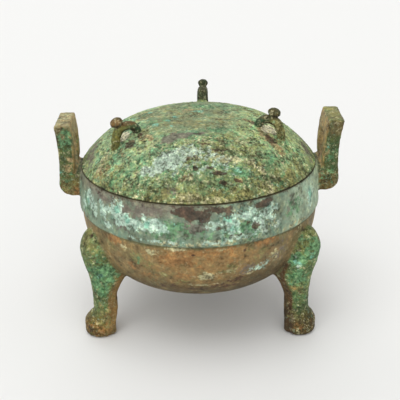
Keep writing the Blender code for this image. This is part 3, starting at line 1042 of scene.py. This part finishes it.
lidShades = {
    "dome": ((126, 145, 101), (
        ((144, 168, 126), 1, ("x", 10, -50)),
        ((122, 136, 102), 1, ("radius", 42, 34)),
        ((122, 118, 78), 0.6, ("cloud", 0.5, 0.75)),
        ((106, 140, 104), 0.7, ("cloud", 0.5, 0.25)),
        ((94, 102, 66), 0.8, ("x", 25, 50), ("y", -35, -55)),
        ((148, 168, 120), 0.85, ("x", 15, 40), ("y", -60, -42)),
        ((108, 124, 84), 0.55, ("y", -60, -74)),
        ((108, 118, 76), 0.6, ("radius", 76, 83)),
    )),
    "loops": ((52, 72, 48), (
        ((104, 104, 54), 1, ("radius", 50.75, 60.25)),
        ((132, 128, 80), 1, ("radius", 52.65, 61.2), ("x", 20, 40)),
        ((96, 76, 46), 1, ("height", 154.5, 156), ("x", -20, -40)),
        ((74, 70, 42), 1, ("height", 154.5, 156), ("x", 20, 40)),
        ((62, 66, 42), 1, ("y", 0, 30)),
        # darker on the loops' undersides, where they face down: painted shade
        ((46, 38, 26), 0.85, ("up", 0, -0.5)),
    )),
    "inside": (92, 84, 56),
    # dark along the lid's lowest edge: painted shade in the seam over the bowl
    "edge": (48, 42, 28),
}
lidSkin = {
    "broadCloud": (16, 2),  # size and seed
    "outside": (ledgeHeight + 0.35, ledgeHeight + 0.8),
    "proudOfDome": (0.6, 1.6),  # from here a point is on a loop
    "disc": ("radius", 42, 34),
    # where the painted shade along the lid's lowest edge lies
    "edge": (0.8, ("height", ledgeHeight + 1.3, ledgeHeight + 0.6)),
    "leastGrain": 0.9,
    "addedGrain": 0.8,
    "grainCloud": (9, 21),
    "grainZone": (0.3, 0.7),
    "wornDisc": 0.45,
    "wornLoop": 0.45,
    "wornGrey": 0.6,
    "mostGrain": 1.6,
    "levelLoop": 0.6,
    "raised": (0.5, 0.3, 0.8),  # share, then where the marks begin to lift the skin and where it is full
    "pit": (0.6, 0.4, 0.8),
}


def weatherLid(obj, inside):
    points, normals = readSkin(obj)
    fields = skinFields(points, normals, lidSkin["broadCloud"])
    height, radius = fields["height"], fields["radius"]
    hidden = np.maximum(insideShare(points, inside), 1 - ramp(height, *lidSkin["outside"]))
    outside = 1 - hidden
    dome = np.interp(radius / 1000, *np.array(domeCurve(rimRadius, lid["rise"], ledge)[::-1]).T) * 1000
    loop = ramp(height - dome, *lidSkin["proudOfDome"]) * outside
    ground = blend(shaded(fields, *lidShades["dome"]), shaded(fields, *lidShades["loops"]), loop)
    ground = blend(ground, paint(*lidShades["inside"]), hidden)
    # painted shade in the seam along the lid's lowest edge
    ground = blend(ground, paint(*lidShades["edge"]), follow(fields, *lidSkin["edge"]) * outside)
    storeColour(obj, "ground", ground)

    marks = storeMarks(obj, points, ((points[:, :2], lidMarks, outside * (1 - loop)),))
    added = lidSkin["addedGrain"] * ramp(cloud(points, *lidSkin["grainCloud"]), *lidSkin["grainZone"])
    grain = (lidSkin["leastGrain"] + added) * (1 - follow(fields, lidSkin["wornDisc"], lidSkin["disc"]))
    grain *= 1 - lidSkin["wornLoop"] * loop
    grain *= 1 - lidSkin["wornGrey"] * np.clip(marks["grey"], 0, 1)
    storeField(obj, "grain", np.clip(grain, 0, lidSkin["mostGrain"]) * outside)
    storeField(obj, "skin", outside * (1 - lidSkin["levelLoop"] * loop))
    share, *zone = lidSkin["raised"]
    raised = marks["pale"] + marks["cream"] + marks["crust"] + marks["turquoise"]
    storeField(obj, "raised", share * ramp(raised, *zone) * outside)
    share, *zone = lidSkin["pit"]
    storeField(obj, "pit", share * ramp(marks["stainAndShade"], *zone) * outside)


# The vessel's ground, in the same rows

vesselShades = {
    "belly": ((140, 113, 71), (
        ((130, 110, 72), 1, ("azimuth", 262, 232)),
        ((127, 107, 73), 1, ("azimuth", 285, 310)),
        ((88, 73, 44), 0.95, ("height", 68, 48)),
        ((82, 69, 43), 0.8, ("height", 72, 58), ("azimuth", 280, 296)),
        ((112, 102, 66), 0.7, ("cloud", 0.5, 0.72)),
        # a dark olive line just under the ridge: painted shade below the rib
        ((78, 82, 50), 0.8, ("height", ridgeHeight - 2.4, ridgeHeight - 1.4),
         ("height", ridgeHeight + 0.5, ridgeHeight - 0.5)),
    )),
    "wall": ((120, 139, 118), (
        ((124, 124, 106), 1, ("height", 104, 116), ("azimuth", 285, 262)),
        ((160, 178, 152), 1, ("azimuth", 305, 316)),
        ((104, 116, 96), 0.6, ("cloud", 0.5, 0.72)),
        # a dark line at the top of the band: painted shade in the seam under the lid
        ((44, 38, 27), 1, ("height", ledgeHeight - 1.1, ledgeHeight - 0.2)),
    )),
    "legs": ((92, 112, 66), (
        ((104, 112, 64), 1, ("height", 58, 76)),
        ((98, 79, 34), 1, ("height", 24, 10)),
        # the legs' flanks are brown, darkened with painted shade, and paler on the left leg as painted
        # light from the left
        ((88, 66, 40), 1, ("outward", 0.4, 0.05)),
        ((128, 102, 58), 1, ("outward", 0.4, 0.05), ("x", -40, -60)),
    )),
    "ears": ((70, 82, 44), (
        ((100, 84, 42), 1, ("height", 118, 106)),
        ((98, 86, 54), 0.8, ("height", 138, 143)),
        ((160, 137, 91), 1, ("inward", 0.3, 0.7)),
        ((112, 96, 58), 0.7, ("inward", -0.3, -0.7)),
        # the opening's walls are pale tan: earth in part, and made pale so the opening does not read dark,
        # which is painted light
        ((164, 146, 112), 1, ("aside", openingSide + 0.6, openingSide - 0.2),
         ("height", openingFoot - 1.5, openingFoot + 0.5),
         ("height", openingHead + 1.2, openingHead - 0.2)),
        ((138, 124, 82), 1, ("up", 0.4, 0.8), ("height", 146, 149), ("x", 50, -50)),
        ((116, 114, 58), 1, ("up", 0.4, 0.8), ("height", 146, 149), ("x", -50, 50)),
    )),
    "inside": (74, 72, 50),
    "lip": (70, 64, 44),
}
vesselSkin = {
    "broadCloud": (18, 4),
    "bellyPower": 2.4,  # between its roundness and its flatness
    "bellyScale": 0.8,
    "belly": ridgeHeight - 0.5,
    "proudOfWall": (0.5, 1.6),  # from here a point is on a leg or an ear
    "underLid": (ledgeHeight - 0.2, ledgeHeight - 0.9),
    "ear": (ridgeHeight + 6, ridgeHeight + 8),
    "leg": (ridgeHeight, ridgeHeight - 2),
    "band": (ridgeHeight - 0.5, ridgeHeight + 0.5),
    # painted shade: the right leg darker low down
    "paintedLegShade": (0.42, ("x", 20, 60), ("height", 40, 14)),
    "markRadius": 86,  # where the wall marks' reach round is measured
    "crusty": (0.3, 0.8),
    "flank": (1, ("outward", 0.35, 0)),
    "front": (1, ("azimuth", 274, 282), ("azimuth", 310, 304)),
    "sole": (0.4, 2.0),
    "raised": (0.35, 0.8),
    "raisedCream": 0.6,
    "pit": (0.5, 0.5, 0.9),
}
vesselGrain = {
    "everywhere": 0.22,
    "band": -0.02,
    "limb": 0.6,
    "crusty": 0.5,
    "flank": -0.5,
    "ear": -0.2,
    "front": 0.4,
}


def proudOfBowl(radius, height):
    # how far a point stands out from the bowl's own wall, in millimetres
    out = radius / (1000 * bellyRadius)
    down = np.clip(ridgeHeight - height, 0, None) / (1000 * bowl["depth"])
    share = np.maximum(out ** bowl["roundness"] + down ** bowl["flatness"], 1e-6)
    below = (share ** (1 / vesselSkin["bellyPower"]) - 1) * 1000 * bellyRadius * vesselSkin["bellyScale"]
    wall = np.interp(height / 1000, (ridge, ledge), (bowl["ridgeRadius"], rimRadius)) * 1000
    return np.where(height < vesselSkin["belly"], below, radius - wall)


def weatherVessel(obj, inside):
    points, normals = readSkin(obj)
    fields = skinFields(points, normals, vesselSkin["broadCloud"])
    height, azimuth = fields["height"], fields["azimuth"]
    under = ramp(height, *vesselSkin["underLid"])
    band = ramp(height, *vesselSkin["band"])
    limb = ramp(proudOfBowl(fields["radius"], height), *vesselSkin["proudOfWall"])
    onEar = limb * ramp(height, *vesselSkin["ear"])
    onLeg = limb * ramp(height, *vesselSkin["leg"])
    hidden = insideShare(points, inside) * (1 - limb)
    outside = (1 - hidden) * np.maximum(under, onEar)

    # the right leg is painted darker towards its foot: painted shade
    leg = shaded(fields, *vesselShades["legs"]) * (1 - follow(fields, *vesselSkin["paintedLegShade"]))[:, None]
    ground = blend(shaded(fields, *vesselShades["belly"]), shaded(fields, *vesselShades["wall"]), band)
    ground = blend(ground, leg, onLeg)
    ground = blend(ground, shaded(fields, *vesselShades["ears"]), onEar)
    ground = blend(ground, paint(*vesselShades["inside"]), hidden)
    ground = blend(ground, paint(*vesselShades["lip"]), (1 - under) * (1 - onEar))
    storeColour(obj, "ground", ground)

    wallPlaces = np.column_stack((azimuth, height))
    degree = pi / 180 * vesselSkin["markRadius"]
    wallRows = {}
    for name, rows in wallMarks.items():
        wallRows[name] = [(turn, level, wide / degree, *others) for turn, level, wide, *others in rows]
    marks = storeMarks(obj, points, (
        (wallPlaces, wallRows, outside * (1 - limb)),
        (points, limbMarks, outside * limb),
    ))
    crusty = np.clip(marks["crust"] + marks["pale"] + marks["cream"], 0, 1)
    shares = {
        "band": band,
        "limb": limb,
        "crusty": ramp(crusty, *vesselSkin["crusty"]),
        "flank": onLeg * follow(fields, *vesselSkin["flank"]),
        "ear": onEar,
        "front": band * follow(fields, *vesselSkin["front"]),
    }
    grain = vesselGrain["everywhere"] + sum(vesselGrain[name] * share for name, share in shares.items())
    storeField(obj, "grain", np.clip(grain, 0, 1) * outside)
    storeField(obj, "skin", outside * ramp(height, *vesselSkin["sole"]))
    raised = marks["crust"] + marks["pale"] + vesselSkin["raisedCream"] * marks["cream"]
    storeField(obj, "raised", ramp(raised, *vesselSkin["raised"]) * outside)
    share, *zone = vesselSkin["pit"]
    storeField(obj, "pit", share * ramp(marks["stainAndShade"], *zone) * outside * (1 - band))


vessel, vesselInside = buildVessel()
print("vessel", triangles(vessel), "triangles")
lidPiece, lidInside = buildLid()
print("lid", triangles(lidPiece), "triangles")


# Materials: each layer of the patina runs from its darker tone to its paler one

tones = {
    "grey": ((94, 84, 76), (124, 116, 104)),
    "ochre": ((90, 92, 50), (146, 140, 88)),
    "rust": ((120, 82, 44), (168, 126, 76)),
    "teal": ((40, 84, 50), (118, 166, 118)),
    "earth": ((116, 94, 60), (184, 162, 118)),
    "cream": ((146, 144, 104), (204, 198, 156)),
    "crust": ((140, 174, 154), (208, 232, 214)),
    "turquoise": ((92, 156, 132), (144, 198, 174)),
    "pale": ((132, 154, 136), (200, 217, 200)),
    # dark stains, also used for painted shadows
    "stainAndShade": ((46, 27, 21), (88, 58, 44)),
    # bright cream, partly painted light
    "creamAndPaintedLight": ((224, 216, 178), (252, 247, 216)),
}

# Noises of the patina: size in metres, detail, seed and roughness

noises = {
    "fine": (0.0019, 4.0, 1.0, 0.75),
    "mottle": (0.0065, 3.0, 2.0, 0.6),
    "hue": (0.0052, 4.0, 3.0, 0.7),
    "edge": (0.0030, 5.0, 10.0, 0.72),
    "tone": (0.0026, 3.0, 30.0, 0.65),
    "speck": (0.0024, 4.0, 41.0, 0.75),
}
patina = {
    "coarse": (0.7, 0.3),  # gain on the stored grain, and what a smooth skin keeps
    "turns": (((1.13, 1.0, 0.76, 1), 0.5, 0.62), ((0.72, 1.04, 1.02, 1), 0.5, 0.38)),  # olive and teal
    "fineSwing": 6.4,
    "riseSwing": 1.2,
    "mottleSwing": 3.6,
    "specks": (  # where one begins and is full, its shade and its strength
        (0.54, 0.62, (206, 200, 158), 0.75),
        (0.57, 0.66, (150, 190, 162), 0.55),
        (0.60, 0.68, (154, 128, 88), 0.5),
        (0.57, 0.66, (50, 52, 32), 0.8),
    ),
    "speckSeeds": 2.0,
    "raggedness": 3.2,
    "layerEdge": (0.4, 0.75),
    "layerReach": (0.02, 0.25),
    "toneEdge": (0.3, 0.7),
    "cover": 0.82,
    # the paler factor on the grains is partly a painted highlight
    "shades": ((1.1, (1.85, 1.8, 1.72, 1)), (-1.0, (0.3, 0.28, 0.25, 1))),  # grains, then hollows
    "bump": (0.7, 0.1),
    "bumpDistance": 0.0014,
    "specular": 0.3,
}


def tint(red, green, blue):
    return (*paint(red, green, blue), 1.0)


def mixColour(tree, share, first, second, how="MIX"):
    made = node(tree, "ShaderNodeMix", data_type="RGBA", blend_type=how)
    plug(tree, share, made.inputs["Factor"])
    plug(tree, first, made.inputs[6])
    plug(tree, second, made.inputs[7])
    return made.outputs[2]


def noise(tree, place, name, laterSeed=0.0):
    size, detail, seed, roughness = noises[name]
    return node(tree, "ShaderNodeTexNoise", {
        "Vector": place,
        "W": seed + laterSeed,
        "Scale": 1 / size,
        "Detail": detail,
        "Roughness": roughness,
    }, noise_dimensions="4D").outputs[0]


def smooth(tree, value, low, high):
    made = node(tree, "ShaderNodeMapRange", {"Value": value, "From Min": low, "From Max": high},
                interpolation_type="SMOOTHSTEP")
    return made.outputs[0]


def swingOf(tree, value, strength):
    return maths(tree, "MULTIPLY", maths(tree, "SUBTRACT", value, 0.5), strength)


def scaled(tree, value, gain, base):
    return maths(tree, "ADD", maths(tree, "MULTIPLY", value, gain), base)


def stored(tree, name, output="Fac"):
    return node(tree, "ShaderNodeAttribute", attribute_name=name).outputs[output]


def bronze(name, roughness, speckShare):
    material = bpy.data.materials.new(name)
    material.use_nodes = True
    tree = material.node_tree
    shader = tree.nodes["Principled BSDF"]
    place = node(tree, "ShaderNodeTexCoord").outputs["Object"]
    grain = stored(tree, "grain")
    fine = noise(tree, place, "fine")
    hue = noise(tree, place, "hue")

    # the ground turns to olive or teal
    ground = stored(tree, "ground", "Color")
    coarse = scaled(tree, grain, *patina["coarse"])
    colour = ground
    for turn, low, high in patina["turns"]:
        share = maths(tree, "MULTIPLY", smooth(tree, hue, low, high), coarse)
        colour = mixColour(tree, share, colour, mixColour(tree, 1.0, ground, turn, "MULTIPLY"))

    # single grains of other minerals
    for i, (low, high, shade, strength) in enumerate(patina["specks"]):
        speck = smooth(tree, noise(tree, place, "speck", patina["speckSeeds"] * i), low, high)
        colour = mixColour(tree, product(tree, speck, grain, strength * speckShare), colour, tint(*shade))

    # the marks, each with a ragged edge
    for i, layer in enumerate(layers):
        mark = stored(tree, layer)
        field = maths(tree, "ADD", mark, swingOf(tree, noise(tree, place, "edge", i), patina["raggedness"]))
        mask = smooth(tree, field, *patina["layerEdge"])
        mask = maths(tree, "MULTIPLY", mask, smooth(tree, mark, *patina["layerReach"]))
        tone = smooth(tree, noise(tree, place, "tone", i), *patina["toneEdge"])
        shade = mixColour(tree, tone, tint(*tones[layer][0]), tint(*tones[layer][1]))
        colour = mixColour(tree, maths(tree, "MULTIPLY", mask, patina["cover"]), colour, shade)

    # everything is paler on the raised grains, partly a painted highlight, and darker in the hollows
    swing = maths(tree, "ADD", swingOf(tree, fine, patina["fineSwing"]),
                  swingOf(tree, stored(tree, "rise"), patina["riseSwing"]))
    swing = maths(tree, "ADD", maths(tree, "MULTIPLY", swing, coarse),
                  swingOf(tree, noise(tree, place, "mottle"), patina["mottleSwing"]))
    for full, factor in patina["shades"]:
        share = smooth(tree, swing, 0.0, full)
        colour = mixColour(tree, share, colour, mixColour(tree, 1.0, colour, factor, "MULTIPLY"))
    tree.links.new(colour, shader.inputs["Base Color"])

    bump = node(tree, "ShaderNodeBump", {
        "Strength": scaled(tree, grain, *patina["bump"]),
        "Distance": patina["bumpDistance"],
        "Height": fine,
    })
    tree.links.new(bump.outputs[0], shader.inputs["Normal"])
    shader.inputs["Roughness"].default_value = roughness
    shader.inputs["Specular IOR Level"].default_value = patina["specular"]
    return material


# Each casting's roughness and share of specks, then its relief

finish = {
    "vessel": bronze("old bronze, vessel", 0.62, 0.9),
    "lid": bronze("old bronze, lid", 0.78, 0.85),
}
wear = {
    "vessel": {"Grain Size": 0.0027, "Grain Height": 0.00052, "Crust Height": 0.0004},
    "lid": {"Grain Size": 0.0020, "Grain Height": 0.00048, "Crust Height": 0.00035},
}

weatherVessel(vessel, vesselInside)
weatherLid(lidPiece, lidInside)
runTree(vessel, weathering, {**wear["vessel"], "Material": finish["vessel"]})
runTree(lidPiece, weathering, {**wear["lid"], "Material": finish["lid"]})
for piece, slot in ((vessel, "vessel_bronze"), (lidPiece, "lid_bronze")):
    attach(piece, "root")
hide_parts("vessel")
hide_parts("lid")
print("weathered and painted")


# Floor, camera and light

view = {
    "elevation": 23.6,
    "distance": 0.6375,
    "target": (-0.000625, -0.00415, 0.085765),
    "lens": 76.95,
    "roll": 1.3,
    "sensor": 36.0,
    "nearest": 0.01,
}


def addCamera():
    camera = bpy.data.objects.new("photographer's camera", bpy.data.cameras.new("camera"))
    camera.data.lens = view["lens"]
    camera.data.sensor_width = view["sensor"]
    camera.data.clip_start = view["nearest"]
    tilt = radians(view["elevation"])
    away = Vector((0.0, -cos(tilt), sin(tilt)))
    camera.location = Vector(view["target"]) + view["distance"] * away
    turn = Matrix(((1, 0, 0), (0, sin(tilt), cos(tilt)), tuple(away))).transposed()
    turn = turn @ Matrix.Rotation(-radians(view["roll"]), 3, "Z")
    camera.rotation_euler = turn.to_euler()
    scene.collection.objects.link(camera)
    scene.camera = camera


paper = {
    "half": 12.0,
    "colour": (0.79, 0.79, 0.775, 1),
    "roughness": 0.9,
}


def addFloor():
    mesh = bpy.data.meshes.new("floor")
    half = paper["half"]
    corners = [(-half, -half, 0), (half, -half, 0), (half, half, 0), (-half, half, 0)]
    mesh.from_pydata(corners, [], [(0, 1, 2, 3)])
    floor = addObject("floor", mesh)
    material = bpy.data.materials.new("pale paper")
    material.use_nodes = True
    shader = material.node_tree.nodes["Principled BSDF"]
    shader.inputs["Base Color"].default_value = paper["colour"]
    shader.inputs["Roughness"].default_value = paper["roughness"]
    mesh.materials.append(material)


# Each light: the direction that it comes from, its spread in degrees and its strength

studio = {
    "overhead": ((-0.14, -0.14, 1.0), 50.0, 1.08),
    "front": ((-0.2, -1.0, 0.5), 80.0, 1.0),
    "behind": ((-0.25, 1.0, 0.38), 70.0, 0.85),
    "surroundings": 0.6,
}


def addSoftLight(name, source, spread, strength):
    lamp = bpy.data.lights.new(name, "SUN")
    lamp.angle = radians(spread)
    lamp.energy = strength
    obj = bpy.data.objects.new(name, lamp)
    obj.rotation_euler = Vector(source).to_track_quat("Z", "Y").to_euler()
    scene.collection.objects.link(obj)


addCamera()
addFloor()
addSoftLight("softbox overhead", *studio["overhead"])
addSoftLight("white card in front", *studio["front"])
addSoftLight("lamp behind", *studio["behind"])
world = bpy.data.worlds.new("studio")
world.use_nodes = True
background = world.node_tree.nodes["Background"]
background.inputs["Color"].default_value = (1, 1, 1, 1)
background.inputs["Strength"].default_value = studio["surroundings"]
scene.world = world
scene.view_settings.view_transform = "Standard"
print("floor, camera and lights placed")
